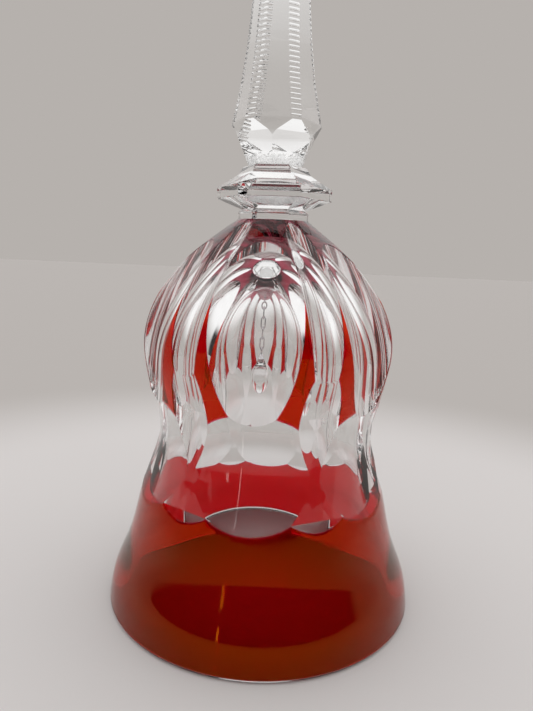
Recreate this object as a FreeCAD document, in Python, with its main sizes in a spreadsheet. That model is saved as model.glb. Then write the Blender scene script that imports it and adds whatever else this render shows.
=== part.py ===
import FreeCAD, Part

import math
import os

os.makedirs("parts", exist_ok=True)
doc = FreeCAD.newDocument("glass_bell")
vector = FreeCAD.Vector
UP = vector(0, 0, 1)

# Every driving dimension, in millimetres and degrees. The frame stands on the rim: Z = 0 is the
# table, Z runs up the bell's axis, and -Y faces the middle of one oval cut.
SIZES = {
    # outside of the blown body, bottom to top
    "rim_radius": 48.0,
    "rim_lip": 1.2,
    "lip_radius": 47.7,
    "lip_height": 3.6,
    "bead_radius": 46.7,
    "bead_height": 8.5,
    "skirt_radius": 44.45,
    "skirt_height": 14.4,
    "flare_radius": 42.15,
    "flare_height": 20.2,
    "hip_radius": 40.4,
    "hip_height": 26.4,
    "knee_radius": 39.1,
    "knee_height": 32.0,
    "waist_radius": 34.7,
    "waist_height": 61.0,
    "shoulder_radius": 37.9,
    "shoulder_height": 82.0,
    "crown_radius": 30.0,
    "crown_height": 101.0,
    "neck_radius": 10.6,
    "neck_height": 118.0,
    # walls, ruby casing and cavity
    "casing": 0.4,
    "rim_wall": 2.6,
    "knee_wall": 4.2,
    "waist_wall": 6.6,
    "shoulder_wall": 9.4,
    "crown_wall": 13.5,
    # oval cuts on the shoulder
    "oval_low": 66.0,
    "oval_high": 109.3,
    "oval_depth": 5.7,
    "oval_wheel": 24.0,
    # long leaf cuts between the ovals
    "gore_low": 68.8,
    "gore_high": 117.6,
    "gore_depth": 2.2,
    "gore_wheel": 8.0,
    # arched windows at the waist; their wheel's axis stands behind the bell's by window_back
    "window_low": 34.6,
    "window_high": 68.6,
    "window_depth": 2.8,
    "window_back": 24.0,
    # hollowed pillars between the windows, with a leaf on each and a notch below it
    "pillar_low": 44.0,
    "pillar_high": 80.0,
    "pillar_depth": 2.0,
    "pillar_wheel": 14.0,
    "leaf_tip": 50.9,
    "leaf_top": 66.5,
    "leaf_wheel": 4.5,
    "leaf_depth": 0.9,
    "notch_low": 35.2,
    "notch_valley": 38.4,
    "notch_high": 45.4,
    "notch_depth": 1.0,
    "notch_run": 0.7,
    # hexagonal knop
    "foot_radius": 10.6,
    "foot_tall": 2.2,
    "groove_radius": 9.6,
    "groove_tall": 0.8,
    "band_radius": 17.2,
    "band_tall": 3.3,
    "under_bevel": 2.9,
    "upper_bevel": 3.9,
    "deck_radius": 10.8,
    "step_radius": 9.4,
    "step_tall": 2.2,
    # hexagonal spire handle above the knop
    "grip_foot": 7.4,
    "grip_waist": 11.0,
    "grip_waist_rise": 8.6,
    "grip_radius": 13.9,
    "grip_rise": 11.4,
    "middle_radius": 11.4,
    "middle_height": 157.0,
    "taper_radius": 9.9,
    "taper_height": 168.0,
    "spire_radius": 6.3,
    "spire_height": 206.0,
    "tip_radius": 1.4,
    "total_height": 216.0,
    "corner_chamfer": 0.8,
    # hanger, chain and clapper
    "plug_radius": 5.4,
    "plug_drop": 6.2,
    "wire": 0.8,
    "clearance": 0.06,
    "eye_radius": 1.5,
    "link_radius": 1.25,
    "link_straight": 2.4,
    "cap_radius": 2.1,
    "cap_tall": 1.8,
    "drop_radius": 5.6,
    "drop_tall": 13.0,
}
FACETS = 6
PITCH = 360 / FACETS
FRONT = -90
FULLNESS = {"oval": 2, "gore": 2, "pillar": 2, "window": 1.4}

sheet = doc.addObject("Spreadsheet::Sheet", "sizes")
for row, (alias, value) in enumerate(SIZES.items(), 1):
    sheet.set(f"A{row}", alias)
    sheet.set(f"B{row}", str(value))
    sheet.setAlias(f"B{row}", alias)
doc.recompute()


def size(alias):
    return float(sheet.get(alias))


def spline(points, **ends):
    curve = Part.BSplineCurve()
    curve.interpolate([vector(r, 0, z) for r, z in points], **ends)
    return curve


# ---- outline of the bell in the XZ plane -------------------------------------------------------
outside = spline(
    [(size("rim_radius"), size("rim_lip"))]
    + [(size(f"{place}_radius"), size(f"{place}_height"))
       for place in ("lip", "bead", "skirt", "flare", "hip", "knee", "waist", "shoulder", "crown", "neck")]
)


def along(parameter):
    """Point and outward normal of the outside, run on in a straight line past both ends."""
    low, high = outside.FirstParameter, outside.LastParameter
    held = min(max(parameter, low), high)
    point, slope = outside.getD1(held)
    normal = vector(slope.z, 0, -slope.x)
    normal.normalize()
    return point + slope * (parameter - held), normal


def parameter_at(height):
    low, high = outside.FirstParameter, outside.LastParameter
    for _ in range(50):
        middle = (low + high) / 2
        if outside.value(middle).z < height:
            low = middle
        else:
            high = middle
    return (low + high) / 2


def sunk_by(cut, share):
    """How deep a cut is at a share of its length; a higher fullness keeps it deep near both ends."""
    return size(f"{cut}_depth") * (1 - abs(2 * share - 1) ** FULLNESS[cut])


def followed(cut, lift, stations=13, overrun=0.1):
    """A curve that follows the outside along a cut, sunk by its depth and raised by lift."""
    start, end = parameter_at(size(f"{cut}_low")), parameter_at(size(f"{cut}_high"))
    points = []
    for station in range(stations):
        share = -overrun + (1 + 2 * overrun) * station / (stations - 1)
        point, normal = along(start + share * (end - start))
        point = point + normal * (lift - sunk_by(cut, share))
        points.append((point.x, point.z))
    return spline(points)


def skin_points(steps=24):
    """The outside moved in by the casing; both ends stay at their own height."""
    low, high = outside.FirstParameter, outside.LastParameter
    points = []
    for step in range(steps + 1):
        point, normal = along(low + (high - low) * step / steps)
        if step in (0, steps):
            point = point - vector(size("casing") / normal.x, 0, 0)
        else:
            point = point - normal * size("casing")
        points.append((point.x, point.z))
    return points


skin = spline(skin_points())
cavity_top = size("neck_height") - size("crown_wall")
cavity = spline(
    [(size("rim_radius") - size("rim_wall"), 0)]
    + [(size(f"{place}_radius") - size(f"{place}_wall"), size(f"{place}_height"))
       for place in ("knee", "waist", "shoulder")]
    + [(0, cavity_top)],
    InitialTangent=vector(-0.35, 0, 1),
    FinalTangent=vector(-1, 0, 0),
)


def outline_face(corners_and_curves):
    """A face in the XZ plane from curves and corner points, joined in order by straight lines."""
    ends = []
    edges = []
    for item in corners_and_curves:
        if isinstance(item, Part.BSplineCurve):
            edges.append(item.toShape())
            ends.append((item.StartPoint, item.EndPoint))
        else:
            corner = vector(item[0], 0, item[1])
            ends.append((corner, corner))
    for (_, end), (start, _) in zip(ends, ends[1:] + ends[:1]):
        if end.distanceToPoint(start) > 1e-6:
            edges.append(Part.LineSegment(end, start).toShape())
    return Part.Face(Part.Wire(Part.__sortEdges__(edges)))


def sector(face):
    """One sixth of a turn of a face, centred on +X."""
    slice_face = face.copy()
    slice_face.rotate(vector(0, 0, 0), UP, -PITCH / 2)
    return slice_face.revolve(vector(0, 0, 0), UP, PITCH)


def turned(shape, heading):
    copy = shape.copy()
    copy.rotate(vector(0, 0, 0), UP, heading)
    return copy


def is_sector_side(face):
    plane = face.Surface
    if not isinstance(plane, Part.Plane):
        return False
    return abs(plane.Axis.z) < 1e-6 and abs(plane.Position.dot(plane.Axis)) < 1e-6


def all_round(part_of_sector):
    """The whole ring: six turned sectors sewn together without their side faces."""
    skin_faces = [face for face in part_of_sector.Faces if not is_sector_side(face)]
    ring = Part.makeCompound(
        [turned(face, FRONT + facet * PITCH) for facet in range(FACETS) for face in skin_faces])
    ring.sewShape(1e-3)
    return Part.Solid(ring.Shells[0])


def hollow_outline():
    curve = cavity.copy()
    curve.reverse()
    return curve


# ---- wheel cuts, each drawn in the XZ plane and turned to its place ----------------------------
def round_cut(cut):
    """A cut by a wheel with a rounded rim, swept along the outside."""
    wheel = size(f"{cut}_wheel")
    course = followed(cut, wheel)
    start, slope = course.getD1(course.FirstParameter)
    rim = Part.Wire(Part.Circle(start, slope, wheel).toShape())
    return Part.Wire(course.toShape()).makePipeShell([rim], True, False)


def window_cut():
    """A wide, barely rounded cut: its course turned about an axis behind the bell's own."""
    course = followed("window", 0)
    reach = size("rim_radius") + 10
    axis = vector(-size("window_back"), 0, 0)
    face = outline_face([course, (reach, course.EndPoint.z), (reach, course.StartPoint.z)])
    face.rotate(axis, UP, -PITCH / 2)
    return face.revolve(axis, UP, PITCH)


def leaf_cut():
    """A slim leaf: a round wheel tilted so that it leaves the pillar's floor at the leaf's tip."""
    wheel = size("leaf_wheel")
    low, high = parameter_at(size("pillar_low")), parameter_at(size("pillar_high"))
    ends = []
    for place, extra in (("tip", 0), ("top", size("leaf_depth"))):
        parameter = parameter_at(size(f"leaf_{place}"))
        point, normal = along(parameter)
        sunk = sunk_by("pillar", (parameter - low) / (high - low)) + extra
        ends.append(point + normal * (wheel - sunk))
    course = ends[1] - ends[0]
    return Part.makeCylinder(wheel, course.Length, ends[0], course)


def notch_cut():
    """A shallow notch of two flats that meet in a level valley across the foot of a pillar."""
    spots = []
    for place, sunk in (("low", 0), ("valley", size("notch_depth")), ("high", size("notch_run"))):
        point, normal = along(parameter_at(size(f"notch_{place}")))
        spots.append(point - normal * sunk)
    low, valley, high = spots
    reach = size("rim_radius") + 10
    ends = [valley + (high - valley) * 2, valley + (low - valley) * 3]
    corners = [valley, ends[0], vector(reach, 0, ends[0].z), vector(reach, 0, ends[1].z), ends[1]]
    face = Part.Face(Part.makePolygon(corners + corners[:1]))
    face.translate(vector(0, -reach / 2, 0))
    return face.extrude(vector(0, reach, 0))


pillar_cuts = [round_cut("gore"), round_cut("pillar"), leaf_cut(), notch_cut()]
sector_cuts = [round_cut("oval"), window_cut()]
for pillar_cut in pillar_cuts:
    sector_cuts += [turned(pillar_cut, side * PITCH / 2) for side in (1, -1)]


def wheel_cut(shape):
    for cut in sector_cuts:
        shape = shape.cut(cut)
    return shape


# ---- crystal body and the ruby casing that the wheels leave on it ------------------------------
nodes = {}


def node(name, shape):
    """A finished sub-part whose shape is drawn with Part's own functions."""
    item = doc.addObject("Part::Feature", name)
    item.Label = name
    item.Shape = shape
    nodes[name] = item
    return item


rim_inner = size("rim_radius") - size("rim_wall")
rim_flat = rim_inner + (size("rim_wall") - size("casing")) / 2
body = sector(outline_face([(rim_flat, 0), skin, (0, size("neck_height")), hollow_outline()]))
node("crystal_bell", all_round(wheel_cut(body)))

inner_skin = skin.copy()
inner_skin.reverse()
coat = wheel_cut(sector(outline_face([outside, inner_skin])))


def left_over(low, high, side=0):
    """The largest piece of the cut casing between two heights, on one side or on both."""
    reach = size("rim_radius") + 10
    region = Part.makeBox(reach, 2 * reach, high - low, vector(0, reach * (side - 1), low))
    return max(coat.common(region).Solids, key=lambda piece: piece.Volume)


skirt = left_over(0, size("leaf_tip"))
crown = left_over(size("crown_height"), size("neck_height"))
panels = {
    side: left_over(size("leaf_tip"), size("crown_height"), turn)
    for side, turn in (("right", -1), ("left", 1))
}
node("ruby_skirt", all_round(skirt))
for facet in range(FACETS):
    heading = FRONT + facet * PITCH
    node(f"ruby_crown_{facet + 1}", turned(crown, heading))
    for side, panel in panels.items():
        node(f"ruby_panel_{facet + 1}_{side}", turned(panel, heading))


# ---- knop and handle: hexagonal lofts -----------------------------------------------------------
def hexagon_loft(name, stations, heading=0):
    """A ruled loft through hexagons; a station is a circumradius and a height, as expressions."""
    loft = doc.addObject("Part::Loft", name)
    sections = []
    for number, (radius, height) in enumerate(stations):
        ring = doc.addObject("Part::RegularPolygon", f"{name}_{number}")
        ring.Polygon = FACETS
        ring.setExpression("Circumradius", radius)
        ring.setExpression("Placement.Base.z", height)
        ring.Placement.Rotation = FreeCAD.Rotation(UP, heading)
        sections.append(ring)
    loft.Sections = sections
    loft.Solid = True
    loft.Ruled = True
    return loft


FOOT_TOP = "sizes.neck_height + sizes.foot_tall"
GROOVE_TOP = f"{FOOT_TOP} + sizes.groove_tall"
BAND_LOW = f"{GROOVE_TOP} + sizes.under_bevel"
BAND_HIGH = f"{BAND_LOW} + sizes.band_tall"
DECK = f"{BAND_HIGH} + sizes.upper_bevel"
KNOP_TOP = f"{DECK} + sizes.step_tall"
knop = hexagon_loft("knop", [
    ("sizes.foot_radius", "sizes.neck_height"),
    ("sizes.foot_radius", FOOT_TOP),
    ("sizes.groove_radius", GROOVE_TOP),
    ("sizes.band_radius", BAND_LOW),
    ("sizes.band_radius", BAND_HIGH),
    ("sizes.deck_radius", DECK),
    ("sizes.step_radius", KNOP_TOP),
])
knop.Label = "knop"
nodes["knop"] = knop

GRIP_TOP = f"{KNOP_TOP} + sizes.grip_rise"
spire = hexagon_loft("spire", [
    ("sizes.grip_radius", KNOP_TOP),
    ("sizes.grip_radius", GRIP_TOP),
    ("sizes.middle_radius", "sizes.middle_height"),
    ("sizes.taper_radius", "sizes.taper_height"),
    ("sizes.spire_radius", "sizes.spire_height"),
    ("sizes.tip_radius", "sizes.total_height"),
])
ACROSS = f"{1 / math.cos(math.radians(PITCH / 2)):.6f}"
corners = hexagon_loft("corners", [
    (f"sizes.grip_foot * {ACROSS}", KNOP_TOP),
    (f"sizes.grip_waist * {ACROSS}", f"{KNOP_TOP} + sizes.grip_waist_rise"),
    (f"(sizes.grip_radius - sizes.corner_chamfer) * {ACROSS}", GRIP_TOP),
    (f"(sizes.middle_radius - sizes.corner_chamfer) * {ACROSS}", "sizes.middle_height"),
    (f"(sizes.taper_radius - sizes.corner_chamfer) * {ACROSS}", "sizes.taper_height"),
    (f"(sizes.spire_radius - sizes.corner_chamfer) * {ACROSS}", "sizes.spire_height"),
    (f"sizes.tip_radius * {ACROSS}", "sizes.total_height"),
], PITCH / 2)
handle = doc.addObject("Part::MultiCommon", "handle")
handle.Shapes = [spire, corners]
handle.Label = "handle"
nodes["handle"] = handle


# ---- hanger, chain and clapper ------------------------------------------------------------------
def bound(kind, name, placement=None, **expressions):
    """A Part primitive or boolean with its sizes and its place bound to the sheet."""
    item = doc.addObject(kind, name)
    for key, text in expressions.items():
        item.setExpression(key, text)
    for axis, text in (placement or {}).items():
        item.setExpression(f"Placement.Base.{axis}", text)
    return item


def joined(kind, name, shapes):
    item = doc.addObject(kind, name)
    item.Shapes = shapes
    return item


def faced(item, axis, angle):
    base = item.Placement.Base
    item.Placement = FreeCAD.Placement(base, FreeCAD.Rotation(axis, angle))
    return item


CAVITY_TOP = "sizes.neck_height - sizes.crown_wall"
EYE_HEIGHT = f"{CAVITY_TOP} - sizes.plug_drop - sizes.eye_radius"
WIRE_RADIUS = "sizes.wire / 2"
hollow = doc.addObject("Part::Feature", "hollow")
hollow.Shape = outline_face([cavity, (0, 0)]).revolve(vector(0, 0, 0), UP, 360)

eye_ring = faced(bound("Part::Torus", "eye_ring", {"z": EYE_HEIGHT},
                       Radius1="sizes.eye_radius", Radius2=WIRE_RADIUS), vector(1, 0, 0), 90)
eye_ring.setExpression("Placement.Base.z", EYE_HEIGHT)
eye_stem = bound("Part::Cylinder", "eye_stem", {"z": f"{EYE_HEIGHT} + sizes.eye_radius"},
                 Radius=WIRE_RADIUS, Height="sizes.plug_drop * 0.7")
eye = joined("Part::MultiFuse", "hanger_eye", [eye_ring, eye_stem])
eye.Label = "hanger_eye"
nodes["hanger_eye"] = eye

plug_ball = bound("Part::Sphere", "plug_ball", {"z": CAVITY_TOP}, Radius="sizes.plug_radius")
plug_body = joined("Part::MultiCommon", "plug_body", [hollow, plug_ball])
plug = doc.addObject("Part::Cut", "hanger_plug")
plug.Base = plug_body
plug.Tool = eye
plug.Label = "hanger_plug"
nodes["hanger_plug"] = plug

# Each link hangs in the one above: its top wire rests on that link's bottom wire, with a clearance.
HOOKED = "(sizes.wire + sizes.clearance)"
LINK_HALF = "(sizes.link_straight / 2 + sizes.link_radius)"
LINKS = 4


def link(number, centre):
    """An oval chain link of round wire; odd links lie in the YZ plane, even ones in XZ."""
    ends = []
    for end, turn in ((1, 0), (-1, 180)):
        name = f"link_{number}_end_{'upper' if end > 0 else 'lower'}"
        arc = bound("Part::Torus", name, None, Radius1="sizes.link_radius", Radius2=WIRE_RADIUS)
        arc.Angle3 = 180
        upright = FreeCAD.Rotation(vector(1, 0, 0), 90)
        about = FreeCAD.Rotation(vector(0, 1, 0), turn)
        arc.Placement.Rotation = about.multiply(upright)
        arc.setExpression("Placement.Base.z", f"{end} * sizes.link_straight / 2")
        ends.append(arc)
    for side, word in ((1, "right"), (-1, "left")):
        rail = bound("Part::Cylinder", f"link_{number}_rail_{word}",
                     {"x": f"{side} * sizes.link_radius", "z": "-sizes.link_straight / 2"},
                     Radius=WIRE_RADIUS, Height="sizes.link_straight")
        ends.append(rail)
    whole = joined("Part::MultiFuse", f"link_{number}", ends)
    whole.Label = f"link_{number}"
    whole.Placement.Rotation = FreeCAD.Rotation(UP, 90 * (number % 2))
    whole.setExpression("Placement.Base.z", centre)
    nodes[f"link_{number}"] = whole
    return whole


hang = f"{EYE_HEIGHT} - sizes.eye_radius"
pivots = [hang]
for number in range(1, LINKS + 1):
    link(number, f"{hang} + {HOOKED} - {LINK_HALF}")
    hang = f"{hang} + {HOOKED} - 2 * {LINK_HALF}"
    pivots.append(hang)

LOOP_HEIGHT = f"{hang} + {HOOKED} - sizes.link_radius"
loop = faced(bound("Part::Torus", "cap_loop", None, Radius1="sizes.link_radius",
                   Radius2=WIRE_RADIUS), vector(0, 1, 0), 90)
loop.setExpression("Placement.Base.z", LOOP_HEIGHT)
CAP_LOW = f"{LOOP_HEIGHT} - sizes.link_radius - sizes.cap_tall"
cap_shell = bound("Part::Cone", "cap_shell", {"z": CAP_LOW}, Radius1="sizes.cap_radius",
                  Radius2="sizes.wire", Height="sizes.cap_tall")
cap = joined("Part::MultiFuse", "clapper_cap", [loop, cap_shell])
cap.Label = "clapper_cap"
nodes["clapper_cap"] = cap

drop_ball = bound("Part::Sphere", "drop_ball",
                  {"z": f"{CAP_LOW} - sizes.drop_tall + sizes.drop_radius"},
                  Radius="sizes.drop_radius")
drop_neck = bound("Part::Cone", "drop_neck",
                  {"z": f"{CAP_LOW} - sizes.drop_tall + sizes.drop_radius * 1.5"},
                  Radius1="sizes.drop_radius * 0.866", Radius2="sizes.cap_radius * 0.9",
                  Height="sizes.drop_tall - sizes.drop_radius * 1.5")
drop = joined("Part::MultiFuse", "clapper_drop", [drop_ball, drop_neck])
drop.Label = "clapper_drop"
nodes["clapper_drop"] = drop

# ---- check and write ----------------------------------------------------------------------------
doc.recompute()
failed = [item.Name for item in doc.Objects if {"Invalid", "Error"} & set(item.State)]
if failed:
    raise RuntimeError(f"failed objects: {failed}")
for name, item in nodes.items():
    if item.Shape.isNull() or not item.Shape.isValid():
        raise RuntimeError(f"{name} has no valid shape")
    item.Shape.exportStep(f"parts/{name}.step")
print("chain pivots at heights", [round(sheet.evalExpression(text), 3) for text in pivots])
print(len(nodes), "nodes")
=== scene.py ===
import math

import bmesh
import bpy
import numpy as np
from mathutils import Matrix, Vector


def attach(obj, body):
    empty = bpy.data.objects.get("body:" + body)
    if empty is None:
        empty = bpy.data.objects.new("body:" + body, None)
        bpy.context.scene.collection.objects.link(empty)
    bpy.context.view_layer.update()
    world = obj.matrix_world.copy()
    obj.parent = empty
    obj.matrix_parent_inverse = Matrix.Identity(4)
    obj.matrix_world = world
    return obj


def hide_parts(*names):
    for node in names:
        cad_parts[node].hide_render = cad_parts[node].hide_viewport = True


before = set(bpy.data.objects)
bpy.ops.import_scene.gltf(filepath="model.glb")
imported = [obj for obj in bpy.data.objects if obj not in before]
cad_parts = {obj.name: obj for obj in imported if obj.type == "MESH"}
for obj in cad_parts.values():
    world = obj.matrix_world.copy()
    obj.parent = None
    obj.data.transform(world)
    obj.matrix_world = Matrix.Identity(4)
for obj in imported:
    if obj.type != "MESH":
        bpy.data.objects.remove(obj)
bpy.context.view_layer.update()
mm = 0.001   # lengths below are in millimetres, and each finished mesh is scaled by this
facets = 6
pitch = math.radians(360 / facets)
glassReach = 60   # a radius past the widest glass
touching = dict(point=1e-4, side=2e-4, mirror=1e-3, ring=2e-3)   # how near counts as the same place


def meshObject(name, bm, material=None, scale=mm):
    mesh = bpy.data.meshes.new(name)
    bmesh.ops.scale(bm, vec=(scale, scale, scale), verts=bm.verts)
    bm.to_mesh(mesh)
    bm.free()
    piece = bpy.data.objects.new(name, mesh)
    bpy.context.scene.collection.objects.link(piece)
    if material:
        mesh.materials.append(material)
    return piece


def smoothByAngle(piece, degrees):
    for face in piece.data.polygons:
        face.use_smooth = True
    piece.data.set_sharp_from_angle(angle=math.radians(degrees))


def splineLine(points, startSlope=None, endSlope=None):
    # a cubic spline through the points; gives place and direction at a run along their chords
    p = np.array(points, float)
    run = np.concatenate([[0], np.cumsum(np.hypot(*np.diff(p, axis=0).T))])
    h = np.diff(run)
    rise = np.diff(p, axis=0) / h[:, None]
    size = len(p)
    left = np.eye(size)
    right = np.zeros((size, 2))
    for i in range(1, size - 1):
        left[i, i - 1:i + 2] = h[i - 1], 2 * (h[i - 1] + h[i]), h[i]
        right[i] = 6 * (rise[i] - rise[i - 1])
    if startSlope:
        left[0, :2] = 2 * h[0], h[0]
        right[0] = 6 * (rise[0] - np.array(startSlope))
    if endSlope:
        left[-1, -2:] = h[-1], 2 * h[-1]
        right[-1] = 6 * (np.array(endSlope) - rise[-1])
    bend = np.linalg.solve(left, right)

    def at(where):
        held = min(max(where, 0.0), run[-1])
        i = min(int(np.searchsorted(run, held, side="right")) - 1, size - 2)
        a, b = run[i + 1] - held, held - run[i]
        place = (bend[i] * a ** 3 + bend[i + 1] * b ** 3) / (6 * h[i]) \
            + (p[i] / h[i] - bend[i] * h[i] / 6) * a + (p[i + 1] / h[i] - bend[i + 1] * h[i] / 6) * b
        slope = (bend[i + 1] * b ** 2 - bend[i] * a ** 2) / (2 * h[i]) + rise[i] \
            - (bend[i + 1] - bend[i]) * h[i] / 6
        slope = slope / np.hypot(*slope)
        return place + slope * (where - held), slope

    return at, run[-1]


def outward(slope):
    return np.array([slope[1], -slope[0]])


# the blown body; its lines are radius and height, from the rim up
bellShape = dict(
    outside=[(48, 1.2), (47.7, 3.6), (46.7, 8.5), (44.45, 14.4), (42.15, 20.2), (40.4, 26.4), (39.1, 32),
             (34.7, 61), (37.9, 82), (30, 101), (10.6, 118)],
    cavity=[(45.4, 1.0), (34.9, 32), (28.1, 61), (28.5, 82), (0, 104.5)],
    cavityStart=(-0.33, 0.944),
    rimFlat=(46.6, 45.9),
    rimRound=0.35,
    rimInside=(0.12, 0.3),
    casing=0.16,       # thickness of the ruby layer
    casingLip=((0.02, -0.06), (-0.09, -0.12)),
    casingSplits=(-1, 50.9, 101, 119),   # heights that part the skirt, the panels and the crown
    sink=0.03,         # how far fused glass reaches into its neighbour
    outsideSteps=110,
    cavitySteps=60,
    turnSteps=20,      # in each half of a sixth
    smooth=17,
)
outsideAt, outsideRun = splineLine(bellShape["outside"])
cavityAt, cavityRun = splineLine(bellShape["cavity"], bellShape["cavityStart"], (-1.0, 0.0))


def runAtHeight(height):
    low, high = 0.0, outsideRun
    for _ in range(40):
        middle = (low + high) / 2
        if outsideAt(middle)[0][1] < height:
            low = middle
        else:
            high = middle
    return low


def outsideLine(inset):
    # the outside moved in; its ends keep their own heights
    steps = bellShape["outsideSteps"]
    line = []
    for step in range(steps + 1):
        place, slope = outsideAt(outsideRun * step / steps)
        normal = outward(slope)
        if step in (0, steps):
            line.append((place[0] - inset / normal[0], place[1]))
        else:
            line.append(tuple(place - normal * inset))
    return line


def cavityLine():
    steps = bellShape["cavitySteps"]
    return [tuple(cavityAt(cavityRun * step / steps)[0]) for step in range(steps)]


def closedLoop(bm, line):
    # the vertices and edges of a closed outline in the XZ plane
    ring = [bm.verts.new((x, 0, z)) for x, z in line]
    return ring, [bm.edges.new((a, b)) for a, b in zip(ring, ring[1:] + ring[:1])]


def extrudedLoop(bm, edges):
    # the vertices and edges that extruding the edges makes
    grown = bmesh.ops.extrude_edge_only(bm, edges=edges)["geom"]
    return ([item for item in grown if isinstance(item, bmesh.types.BMVert)],
            [item for item in grown if isinstance(item, bmesh.types.BMEdge)])


def closeUp(bm):
    bmesh.ops.holes_fill(bm, edges=bm.edges, sides=0)
    bmesh.ops.recalc_face_normals(bm, faces=bm.faces)


def halfSector(line, steps):
    # a closed outline turned through half of a sixth, with both ends filled
    bm = bmesh.new()
    ring, edges = closedLoop(bm, line)
    bmesh.ops.spin(bm, geom=ring + edges, cent=(0, 0, 0), axis=(0, 0, 1), angle=pitch / 2, steps=steps,
                   use_merge=False, use_duplicate=False)
    bmesh.ops.remove_doubles(bm, verts=bm.verts, dist=touching["point"])
    closeUp(bm)
    return bm


# the wheel cuts of one sixth; low and high are heights, and turn is a share of a sixth
cutShapes = dict(
    oval=dict(low=66.7, high=109.3, depth=5.7, wheel=24, fullness=2, turn=0, segments=220, stations=56),
    gore=dict(low=68.8, high=117.6, depth=2.2, wheel=8, fullness=2, turn=0.5, segments=96, stations=60),
    pillar=dict(low=44, high=80, depth=2.0, wheel=14, fullness=2, turn=0.5, segments=140, stations=40),
    window=dict(low=34.6, high=68.0, depth=2.8, back=24, fullness=1.4, turn=0, steps=48, stations=44),
    leaf=dict(tip=50.9, top=66.5, wheel=4.5, depth=0.9, turn=0.5, segments=72),
    notch=dict(low=35.2, valley=38.4, high=45.4, depth=1.0, run=0.7, past=(2, 3), reach=58, turn=0.5),
    overrun=0.1,   # how far a wheel runs on past both ends, as a share of the cut
)


def sunkBy(cut, share):
    # how deep a cut is at a share of its length; a higher fullness keeps it deep near both ends
    return cut["depth"] * (1 - abs(2 * share - 1) ** cut["fullness"])


def cutCourse(cut, lift):
    start, end = runAtHeight(cut["low"]), runAtHeight(cut["high"])
    over = cutShapes["overrun"]
    course = []
    for station in range(cut["stations"] + 1):
        share = -over + (1 + 2 * over) * station / cut["stations"]
        place, slope = outsideAt(start + share * (end - start))
        course.append(place + outward(slope) * (lift - sunkBy(cut, share)))
    return course


def sweptRing(course, radius, segments):
    # a round bar along a course in the XZ plane
    bm = bmesh.new()
    middles = [Vector((x, 0, z)) for x, z in course]
    frames = []
    for i, middle in enumerate(middles):
        before, after = middles[max(i - 1, 0)], middles[min(i + 1, len(middles) - 1)]
        along = (after - before).normalized()
        across = Vector((0, 1, 0))
        turned = Matrix((along.cross(across), across, along)).transposed().to_4x4()
        frames.append(Matrix.Translation(middle) @ turned)
    ring = bmesh.ops.create_circle(bm, cap_ends=False, radius=radius, segments=segments)["verts"]
    bmesh.ops.transform(bm, matrix=frames[0], verts=ring)
    edges = list(bm.edges)
    for old, new in zip(frames, frames[1:]):
        ring, edges = extrudedLoop(bm, edges)
        bmesh.ops.transform(bm, matrix=new @ old.inverted(), verts=ring)
    closeUp(bm)
    return bm


def roundCutter(cut):
    return sweptRing(cutCourse(cut, cut["wheel"]), cut["wheel"], cut["segments"])


def windowCutter(cut):
    # its course turned about an axis behind the bell's own
    course = cutCourse(cut, 0)
    bm = bmesh.new()
    line = [tuple(place) for place in course] + [(glassReach, course[-1][1]), (glassReach, course[0][1])]
    ring, edges = closedLoop(bm, line)
    axis = Vector((-cut["back"], 0, 0))
    bmesh.ops.rotate(bm, cent=axis, verts=ring, matrix=Matrix.Rotation(-pitch / 2, 3, "Z"))
    bmesh.ops.spin(bm, geom=ring + edges, cent=axis, axis=(0, 0, 1), angle=pitch, steps=cut["steps"],
                   use_merge=False, use_duplicate=False)
    closeUp(bm)
    return bm


def leafCutter(cut):
    # a slim bar tilted so that it leaves the pillar's floor at the leaf's tip
    pillar = cutShapes["pillar"]
    low, high = runAtHeight(pillar["low"]), runAtHeight(pillar["high"])
    ends = []
    for height, extra in ((cut["tip"], 0), (cut["top"], cut["depth"])):
        run = runAtHeight(height)
        place, slope = outsideAt(run)
        floor = sunkBy(pillar, (run - low) / (high - low))
        x, z = place + outward(slope) * (cut["wheel"] - extra - floor)
        ends.append(Vector((x, 0, z)))
    bm = bmesh.new()
    bmesh.ops.create_cone(bm, cap_ends=True, segments=cut["segments"], radius1=cut["wheel"],
                          radius2=cut["wheel"], depth=(ends[1] - ends[0]).length)
    tilt = (ends[1] - ends[0]).to_track_quat("Z", "Y").to_matrix().to_4x4()
    bmesh.ops.transform(bm, matrix=Matrix.Translation((ends[0] + ends[1]) / 2) @ tilt, verts=bm.verts)
    return bm


def notchCutter(cut):
    # two flats that meet in a level valley across the foot of a pillar
    spots = []
    for height, sunk in ((cut["low"], 0), (cut["valley"], cut["depth"]), (cut["high"], cut["run"])):
        place, slope = outsideAt(runAtHeight(height))
        spots.append(place - outward(slope) * sunk)
    low, valley, high = spots
    reach = cut["reach"]
    ends = [valley + (high - valley) * cut["past"][0], valley + (low - valley) * cut["past"][1]]
    line = [valley, ends[0], (reach, ends[0][1]), (reach, ends[1][1]), ends[1]]
    bm = bmesh.new()
    face = bm.faces.new([bm.verts.new((x, -reach / 2, z)) for x, z in line])
    grown = bmesh.ops.extrude_face_region(bm, geom=[face], use_keep_orig=True)["geom"]
    moved = [item for item in grown if isinstance(item, bmesh.types.BMVert)]
    bmesh.ops.translate(bm, vec=(0, reach, 0), verts=moved)
    bmesh.ops.recalc_face_normals(bm, faces=bm.faces)
    return bm


cutters = []
for name, make in (("oval", roundCutter), ("window", windowCutter), ("gore", roundCutter),
                   ("pillar", roundCutter), ("leaf", leafCutter), ("notch", notchCutter)):
    shape = make(cutShapes[name])
    bmesh.ops.rotate(shape, cent=(0, 0, 0), verts=shape.verts,
                     matrix=Matrix.Rotation(cutShapes[name]["turn"] * pitch, 3, "Z"))
    cutters.append(meshObject(f"cutter_{name}", shape, scale=1))
print("wheel cuts", len(cutters))


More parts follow.
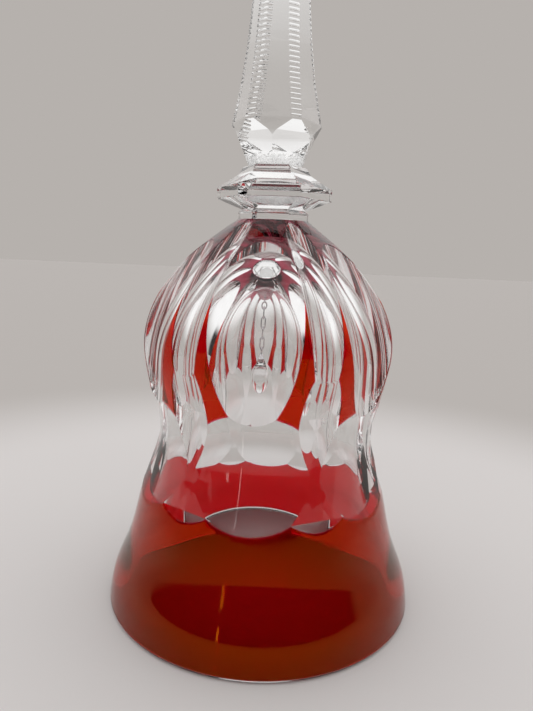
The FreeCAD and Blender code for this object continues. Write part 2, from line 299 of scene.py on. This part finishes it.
def booleanResult(bm, tools, operation="DIFFERENCE"):
    # the bmesh after each tool has been applied in turn
    work = meshObject("work", bm, scale=1)
    for tool in tools:
        step = work.modifiers.new("step", "BOOLEAN")
        step.operation = operation
        step.solver = "EXACT"
        step.object = tool
    result = bmesh.new()
    result.from_object(work, bpy.context.evaluated_depsgraph_get())
    bpy.data.objects.remove(work)
    return result


def openSides(bm):
    # takes away the flat faces on the two sides of a half sector
    turn = Vector((-math.sin(pitch / 2), math.cos(pitch / 2), 0))
    sides = [face for face in bm.faces
             if all(abs(vert.co.y) < touching["side"] for vert in face.verts)
             or all(abs(vert.co.dot(turn)) < touching["side"] for vert in face.verts)]
    bmesh.ops.delete(bm, geom=sides, context="FACES")


def mirrored(bm):
    bmesh.ops.mirror(bm, geom=bm.verts[:] + bm.edges[:] + bm.faces[:], axis="Y",
                     merge_dist=touching["mirror"])
    bmesh.ops.recalc_face_normals(bm, faces=bm.faces)


def faceFront(bm, number):
    # the sector starts around +X; facet 1 faces -Y
    bmesh.ops.rotate(bm, cent=(0, 0, 0), verts=bm.verts,
                     matrix=Matrix.Rotation(-math.pi / 2 + (number - 1) * pitch, 3, "Z"))


def wholeRing(bm):
    openSides(bm)
    mirrored(bm)
    bmesh.ops.spin(bm, geom=bm.verts[:] + bm.edges[:] + bm.faces[:], cent=(0, 0, 0), axis=(0, 0, 1),
                   angle=pitch * (facets - 1), steps=facets - 1, use_duplicate=True)
    bmesh.ops.remove_doubles(bm, verts=bm.verts, dist=touching["ring"])
    bmesh.ops.recalc_face_normals(bm, faces=bm.faces)
    faceFront(bm, 1)


def looseParts(bm):
    bm.verts.ensure_lookup_table()
    left = set(bm.verts)
    parts = []
    while left:
        heap = [left.pop()]
        part = set(heap)
        while heap:
            for edge in heap.pop().link_edges:
                for vert in edge.verts:
                    if vert in left:
                        left.discard(vert)
                        part.add(vert)
                        heap.append(vert)
        parts.append(part)
    return parts


def onlyPart(bm, keep):
    copy = bm.copy()
    copy.verts.ensure_lookup_table()
    bm.verts.index_update()
    kept = {vert.index for vert in keep}
    bmesh.ops.delete(copy, geom=[copy.verts[v.index] for v in bm.verts if v.index not in kept],
                     context="VERTS")
    return copy


def newMaterial(name, **values):
    material = bpy.data.materials.new(name)
    material.use_nodes = True
    shader = material.node_tree.nodes["Principled BSDF"]
    for socket, value in values.items():
        shader.inputs[socket].default_value = value
    return material, shader


def addNode(tree, kind, values=None, **settings):
    # values go by the socket's name or number
    node = tree.nodes.new(kind)
    for name, value in settings.items():
        setattr(node, name, value)
    for socket, value in (values or {}).items():
        node.inputs[socket].default_value = value
    return node


def joinAll(tree, pairs):
    for output, socket in pairs:
        tree.links.new(output, socket)


def addBump(material, shader, scale, strength, distance, detail=2.0):
    tree = material.node_tree
    coords = addNode(tree, "ShaderNodeTexCoord")
    noise = addNode(tree, "ShaderNodeTexNoise", {"Scale": scale, "Detail": detail})
    bump = addNode(tree, "ShaderNodeBump", {"Strength": strength, "Distance": distance})
    joinAll(tree, ((coords.outputs["Object"], noise.inputs["Vector"]),
                   (noise.outputs["Fac"], bump.inputs["Height"]),
                   (bump.outputs["Normal"], shader.inputs["Normal"])))


# scales and distances in the materials are in metres
crystalLook = {"Base Color": (0.985, 0.99, 0.99, 1), "Roughness": 0.0, "IOR": 1.545,
               "Transmission Weight": 1.0}
crystalBump = dict(scale=120, strength=0.02, distance=0.0002)
crystal, crystalShader = newMaterial("clearCrystal", **crystalLook)
addBump(crystal, crystalShader, **crystalBump)

rubyLook = {"Base Color": (1, 1, 1, 1), "Roughness": 0.0, "IOR": 1.545, "Transmission Weight": 1.0}
rubyBump = dict(scale=70, strength=0.03, distance=0.0003)
rubyTint = dict(density=37500, color=(0.956, 0.003, 0.325, 1), lustre=(1.0, 0.5, 0.0, 1))
crownTint = dict(density=18400, color=(0.70, 0.0, 0.239, 1), lustre=(1.0, 0.9, 0.9, 1))
haze = dict(scale=26, detail=5.0, stretch=(1, 1, 4), low=0.42, high=0.78, most=0.16)


def rubyMaterial(name, tint, hazy=False):
    material, shader = newMaterial(name, **rubyLook)
    shader.inputs["Specular Tint"].default_value = tint["lustre"]
    addBump(material, shader, **rubyBump)
    tree = material.node_tree
    absorb = addNode(tree, "ShaderNodeVolumeAbsorption", {"Density": tint["density"], "Color": tint["color"]})
    tree.links.new(absorb.outputs["Volume"], tree.nodes["Material Output"].inputs["Volume"])
    if hazy:
        # the stain is a little satin in level streaks
        coords = addNode(tree, "ShaderNodeTexCoord")
        mapping = addNode(tree, "ShaderNodeMapping", {"Scale": haze["stretch"]})
        cloud = addNode(tree, "ShaderNodeTexNoise", {"Scale": haze["scale"], "Detail": haze["detail"]})
        spread = addNode(tree, "ShaderNodeMapRange",
                         {"From Min": haze["low"], "From Max": haze["high"], "To Max": haze["most"]})
        joinAll(tree, ((coords.outputs["Object"], mapping.inputs["Vector"]),
                       (mapping.outputs["Vector"], cloud.inputs["Vector"]),
                       (cloud.outputs["Fac"], spread.inputs["Value"]),
                       (spread.outputs["Result"], shader.inputs["Roughness"])))
    return material


ruby = rubyMaterial("rubyCasing", rubyTint)
rubyLustre = rubyMaterial("rubyLustre", rubyTint, hazy=True)
rubyDeep = rubyMaterial("rubyDeep", crownTint)

cementLook = {"Base Color": (0.97, 0.97, 0.96, 1), "Roughness": 0.08, "IOR": 1.5,
              "Transmission Weight": 1.0}
cementBump = dict(scale=700, strength=0.9, distance=0.0006, detail=4.0)
cement, cementShader = newMaterial("clearCement", **cementLook)
addBump(cement, cementShader, **cementBump)

wireLook = {"Base Color": (0.72, 0.72, 0.73, 1), "Roughness": 0.16, "Metallic": 1.0}
wireBump = dict(scale=900, strength=0.12, distance=0.0001)
wire, wireShader = newMaterial("brightWire", **wireLook)
addBump(wire, wireShader, **wireBump)

# the grip's foot was ground rough and glued down, with a ragged edge to the rough part
foot = dict(low=0.1352, high=0.1364, ragged=0.005, raggedScale=420, grain=1500, rough=0.32, depth=0.0006)


def gripMaterial():
    material, shader = newMaterial("gripCrystal", **crystalLook)
    tree = material.node_tree
    coords = addNode(tree, "ShaderNodeTexCoord")
    split = addNode(tree, "ShaderNodeSeparateXYZ")
    edge = addNode(tree, "ShaderNodeTexNoise", {"Scale": foot["raggedScale"]})
    lifted = addNode(tree, "ShaderNodeMath", {1: foot["ragged"]}, operation="MULTIPLY_ADD")
    mask = addNode(tree, "ShaderNodeMapRange", {"From Min": foot["high"] + foot["ragged"] / 2,
                                                "From Max": foot["low"] + foot["ragged"] / 2})
    roughness = addNode(tree, "ShaderNodeMath", {1: foot["rough"]}, operation="MULTIPLY")
    grain = addNode(tree, "ShaderNodeTexNoise", {"Scale": foot["grain"]})
    height = addNode(tree, "ShaderNodeMath", operation="MULTIPLY")
    bump = addNode(tree, "ShaderNodeBump", {"Distance": foot["depth"]})
    joinAll(tree, ((coords.outputs["Object"], split.inputs["Vector"]),
                   (coords.outputs["Object"], edge.inputs["Vector"]),
                   (coords.outputs["Object"], grain.inputs["Vector"]),
                   (edge.outputs["Fac"], lifted.inputs[0]),
                   (split.outputs["Z"], lifted.inputs[2]),
                   (lifted.outputs["Value"], mask.inputs["Value"]),
                   (mask.outputs["Result"], roughness.inputs[0]),
                   (mask.outputs["Result"], height.inputs[0]),
                   (grain.outputs["Fac"], height.inputs[1]),
                   (height.outputs["Value"], bump.inputs["Height"]),
                   (bump.outputs["Normal"], shader.inputs["Normal"]),
                   (roughness.outputs["Value"], shader.inputs["Roughness"])))
    return material


gripCrystal = gripMaterial()
print("materials")

bodyLine = outsideLine(bellShape["casing"])
rimOuter, rimInner = bellShape["rimFlat"]
rimRound = bellShape["rimRound"]
insideGrow, insideHeight = bellShape["rimInside"]
bodyLine = [(rimInner, 0), (rimOuter, 0), (bodyLine[0][0] - rimRound, rimRound)] + bodyLine
bodyLine += [(0, bodyLine[-1][1])] + [(0, bellShape["cavity"][-1][1])]
bodyLine += list(reversed(cavityLine())) + [(bellShape["cavity"][0][0] + insideGrow, insideHeight)]
body = booleanResult(halfSector(bodyLine, bellShape["turnSteps"]), cutters)
wholeRing(body)
bell = meshObject("crystalBell", body, crystal)
smoothByAngle(bell, bellShape["smooth"])
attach(bell, "bell")
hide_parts("crystal_bell")
print("crystal body", len(bell.data.polygons))

# the ruby casing, with a small rounded lip at the rim
outer = outsideLine(0)
inner = outsideLine(bellShape["casing"] + bellShape["sink"])
lip = [(start[0] + right, start[1] + up)
       for start, (right, up) in zip((inner[0], outer[0]), bellShape["casingLip"])]
casing = booleanResult(halfSector(outer + list(reversed(inner)) + lip, bellShape["turnSteps"]), cutters)


def casingPart(low, high):
    # the largest piece of the cut casing between two heights
    box = bmesh.new()
    bmesh.ops.create_cube(box, size=1, matrix=Matrix.Translation((0, 0, (low + high) / 2))
                          @ Matrix.Diagonal((2 * glassReach, 2 * glassReach, high - low, 1)))
    tool = meshObject("region", box, scale=1)
    cut = booleanResult(casing.copy(), [tool], "INTERSECT")
    bpy.data.objects.remove(tool)
    return onlyPart(cut, max(looseParts(cut), key=len))


splits = bellShape["casingSplits"]
skirtMesh, panelMesh, crownMesh = (casingPart(low, high) for low, high in zip(splits, splits[1:]))


def rubyPiece(name, bm, node, look=ruby):
    piece = meshObject(name, bm, look)
    smoothByAngle(piece, bellShape["smooth"])
    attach(piece, "bell")
    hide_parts(node)
    return piece


wholeRing(skirtMesh)
rubyPiece("rubySkirt", skirtMesh, "ruby_skirt", rubyLustre)
openSides(crownMesh)
mirrored(crownMesh)
for number in range(1, facets + 1):
    crown = crownMesh.copy()
    faceFront(crown, number)
    rubyPiece(f"rubyCrown{number}", crown, f"ruby_crown_{number}", rubyDeep)
    for side in ("left", "right"):
        panel = panelMesh.copy()
        if side == "right":
            bmesh.ops.scale(panel, vec=(1, -1, 1), verts=panel.verts)
        bmesh.ops.recalc_face_normals(panel, faces=panel.faces)
        faceFront(panel, number)
        rubyPiece(f"rubyPanel{number}{side.title()}", panel, f"ruby_panel_{number}_{side}")
casing.free()
print("ruby casing")

# the knop and the handle; stations are radius and height
knopShape = dict(
    stations=[(10.6, 118), (10.6, 120.2), (9.6, 121), (17.2, 123.9), (17.2, 127.2), (10.8, 131.1),
              (9.4, 133.3)],
    edge=0.14,
    smooth=12,
)
handleShape = dict(
    broad=[(13.9, 133.3), (13.9, 144.7), (11.4, 157), (9.9, 168), (6.3, 206), (1.4, 216)],
    corner=[(7.4, 133.3), (11.0, 141.9), (13.1, 144.7), (10.6, 157), (9.1, 168), (5.5, 206), (1.4, 216)],
    edge=0.07,
    smooth=12,
    notchLow=145.8, notchHigh=205.0, notchPitch=1.4, notchRadius=0.55, notchDepth=0.24,
    notchSides=10, notchLength=4.2,
)


def hexagonStack(stations, turn=0.0, acrossFlats=False):
    # radii are to the corners, or to the middles of the flats
    bm = bmesh.new()
    grow = 1 / math.cos(pitch / 2) if acrossFlats else 1.0
    ring = bmesh.ops.create_circle(bm, cap_ends=False, radius=1, segments=facets)["verts"]
    first = ring[0].co.xy.angle_signed(Vector((1, 0)))
    bmesh.ops.rotate(bm, cent=(0, 0, 0), verts=ring, matrix=Matrix.Rotation(turn + first, 3, "Z"))
    edges = list(bm.edges)
    radius, height = stations[0]
    bmesh.ops.scale(bm, vec=(radius * grow, radius * grow, 1), verts=ring)
    bmesh.ops.translate(bm, vec=(0, 0, height), verts=ring)
    for (oldRadius, oldHeight), (newRadius, newHeight) in zip(stations, stations[1:]):
        ring, edges = extrudedLoop(bm, edges)
        share = newRadius / oldRadius
        bmesh.ops.scale(bm, vec=(share, share, 1), verts=ring)
        bmesh.ops.translate(bm, vec=(0, 0, newHeight - oldHeight), verts=ring)
    closeUp(bm)
    return bm


def softEdges(bm, width, limit=12):
    sharp = [edge for edge in bm.edges
             if len(edge.link_faces) == 2 and edge.calc_face_angle() > math.radians(limit)]
    bmesh.ops.bevel(bm, geom=sharp, offset=width, segments=2, profile=0.5, affect="EDGES", material=-1,
                    clamp_overlap=True)


def sunkFoot(stations):
    # the lowest station let into the piece below
    (radius, height), *rest = stations
    return [(radius, height - bellShape["sink"]), *rest]


knopMesh = hexagonStack(sunkFoot(knopShape["stations"]))
softEdges(knopMesh, knopShape["edge"])
knop = meshObject("knop", knopMesh, crystal)
smoothByAngle(knop, knopShape["smooth"])
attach(knop, "bell")
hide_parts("knop")


def notchBars():
    # small round bars across each corner strip; they bite the serration
    shape = handleShape
    radii, heights = zip(*shape["corner"])
    bm = bmesh.new()
    count = int((shape["notchHigh"] - shape["notchLow"]) / shape["notchPitch"])
    for step in range(count + 1):
        height = shape["notchLow"] + step * shape["notchPitch"]
        reach = np.interp(height, heights, radii)
        for corner in range(facets):
            spot = Matrix.Rotation(corner * pitch, 4, "Z") \
                @ Matrix.Translation((reach + shape["notchRadius"] - shape["notchDepth"], 0, height)) \
                @ Matrix.Rotation(math.pi / 2, 4, "X")
            bmesh.ops.create_cone(bm, cap_ends=True, segments=shape["notchSides"],
                                  radius1=shape["notchRadius"], radius2=shape["notchRadius"],
                                  depth=shape["notchLength"], matrix=spot)
    return meshObject("notchBars", bm, scale=1)


cornerMesh = hexagonStack(sunkFoot(handleShape["corner"]), pitch / 2, acrossFlats=True)
cornerTool = meshObject("cornerTool", cornerMesh, scale=1)
grip = booleanResult(hexagonStack(sunkFoot(handleShape["broad"])), [cornerTool], "INTERSECT")
softEdges(grip, handleShape["edge"])
bars = notchBars()
grip = booleanResult(grip, [bars])
handle = meshObject("handle", grip, gripCrystal)
smoothByAngle(handle, handleShape["smooth"])
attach(handle, "bell")
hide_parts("handle")
print("knop and handle", len(handle.data.polygons))

# the eye, the chain and the clapper keep their own shapes
otherLooks = {"hanger_plug": cement, "clapper_drop": crystal}
for name in ("hanger_eye", "link_1", "link_2", "link_3", "link_4", "clapper_cap", *otherLooks):
    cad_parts[name].data.materials.clear()
    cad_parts[name].data.materials.append(otherLooks.get(name, wire))
print("chain and clapper")

for tool in cutters + [cornerTool, bars]:
    bpy.data.objects.remove(tool)

# the floor colour is painted light: a lighter painted pool of light within about 0.2 m of the bell, fading to
# a darker painted shade further off that matches the backdrop's tone
stageLook = dict(size=3.0, roughness=0.75, near=(0.76, 0.73, 0.72, 1), far=(0.54, 0.508, 0.485, 1),
                 fadeStart=0.16, fadeEnd=0.3)
floorMesh = bmesh.new()
bmesh.ops.create_grid(floorMesh, x_segments=2, y_segments=2, size=stageLook["size"])
floorMaterial, floorShader = newMaterial("paleFloor", Roughness=stageLook["roughness"])
tree = floorMaterial.node_tree
coords = addNode(tree, "ShaderNodeTexCoord")
length = addNode(tree, "ShaderNodeVectorMath", operation="LENGTH")
lightPoolFade = addNode(tree, "ShaderNodeMapRange", {"From Min": stageLook["fadeStart"],
                                            "From Max": stageLook["fadeEnd"]},
               interpolation_type="SMOOTHSTEP")
tone = addNode(tree, "ShaderNodeMix", {"A": stageLook["near"], "B": stageLook["far"]}, data_type="RGBA")
joinAll(tree, ((coords.outputs["Object"], length.inputs[0]),
               (length.outputs["Value"], lightPoolFade.inputs["Value"]),
               (lightPoolFade.outputs["Result"], tone.inputs["Factor"]),
               (tone.outputs["Result"], floorShader.inputs["Base Color"])))
floor = meshObject("floor", floorMesh, floorMaterial, scale=1)

# a plain tone behind the bell, and a soft room for every other ray
skyLook = dict(
    backdrop=(0.468, 0.44, 0.418),
    top=(0.98, 0.97, 0.965), topHeight=(0.08, 0.5),
    dark=(0.03, 0.03, 0.03), darkTop=(0.35, 0.6), darkSide=(-0.1, -0.25),
    streak=(2.6, 2.5, 2.4), streakTurn=-21, streakWidth=1.3, streakSoft=1.4, streakTop=0.16,
    streakFade=0.01,
)
world = bpy.data.worlds.new("softRoom")
bpy.context.scene.world = world
world.use_nodes = True
room = world.node_tree
coords = addNode(room, "ShaderNodeTexCoord")
split = addNode(room, "ShaderNodeSeparateXYZ")
room.links.new(coords.outputs["Generated"], split.inputs["Vector"])


def ramp(source, low, high):
    step = addNode(room, "ShaderNodeMapRange", {"From Min": low, "From Max": high},
                   interpolation_type="SMOOTHSTEP")
    room.links.new(source, step.inputs["Value"])
    return step.outputs["Result"]


def combined(operation, first, second):
    step = addNode(room, "ShaderNodeMath", operation=operation)
    joinAll(room, ((first, step.inputs[0]), (second, step.inputs[1])))
    return step.outputs["Value"]


def blendColour(factor, low, high):
    step = addNode(room, "ShaderNodeMix", data_type="RGBA")
    room.links.new(factor, step.inputs["Factor"])
    for socket, value in (("A", low), ("B", high)):
        if isinstance(value, tuple):
            step.inputs[socket].default_value = (*value, 1)
        else:
            room.links.new(value, step.inputs[socket])
    return step.outputs["Result"]


sideways, forward, upward = split.outputs["X"], split.outputs["Y"], split.outputs["Z"]
sky = blendColour(ramp(upward, *skyLook["topHeight"]), skyLook["backdrop"], skyLook["top"])
darkPart = combined("MULTIPLY", ramp(forward, *skyLook["darkSide"]),
                    ramp(upward, *reversed(skyLook["darkTop"])))
sky = blendColour(darkPart, sky, skyLook["dark"])
heading = combined("ARCTAN2", sideways, forward)
middle, half = math.radians(180 - skyLook["streakTurn"]), math.radians(skyLook["streakWidth"] / 2)
if middle > math.pi:
    middle -= 2 * math.pi
soft = skyLook["streakSoft"] * half
slit = combined("MULTIPLY", ramp(heading, middle - soft, middle - half),
                ramp(heading, middle + soft, middle + half))
slit = combined("MULTIPLY", slit,
                ramp(upward, skyLook["streakTop"], skyLook["streakTop"] - skyLook["streakFade"]))
sky = blendColour(slit, sky, skyLook["streak"])
path = addNode(room, "ShaderNodeLightPath")
sky = blendColour(path.outputs["Is Camera Ray"], sky, skyLook["backdrop"])
room.links.new(sky, room.nodes["Background"].inputs["Color"])

cameraLook = dict(turn=5.6, pitchDown=10.19, roll=2.27, height=109.5, distance=181.3, aside=-0.33,
                  lens=29.87, clipStart=0.01)
camera = bpy.data.objects.new("camera", bpy.data.cameras.new("camera"))
camera.data.lens = cameraLook["lens"]
camera.data.clip_start = cameraLook["clipStart"]
stand = Matrix.Rotation(math.radians(cameraLook["turn"]), 4, "Z")
spot = Vector((cameraLook["aside"], -cameraLook["distance"], cameraLook["height"])) * mm
camera.matrix_world = stand @ Matrix.Translation(spot) \
    @ Matrix.Rotation(math.radians(90 - cameraLook["pitchDown"]), 4, "X") \
    @ Matrix.Rotation(math.radians(cameraLook["roll"]), 4, "Z")
bpy.context.scene.collection.objects.link(camera)
bpy.context.scene.camera = camera

# thick cut glass needs many bounces before it stops looking black
bounces = dict(most=40, through=36, glossy=8, transparent=16)
cycles = bpy.context.scene.cycles
cycles.max_bounces = bounces["most"]
cycles.transmission_bounces = bounces["through"]
cycles.glossy_bounces = bounces["glossy"]
cycles.transparent_max_bounces = bounces["transparent"]
bpy.context.scene.view_settings.view_transform = "Standard"
print("stage and camera")
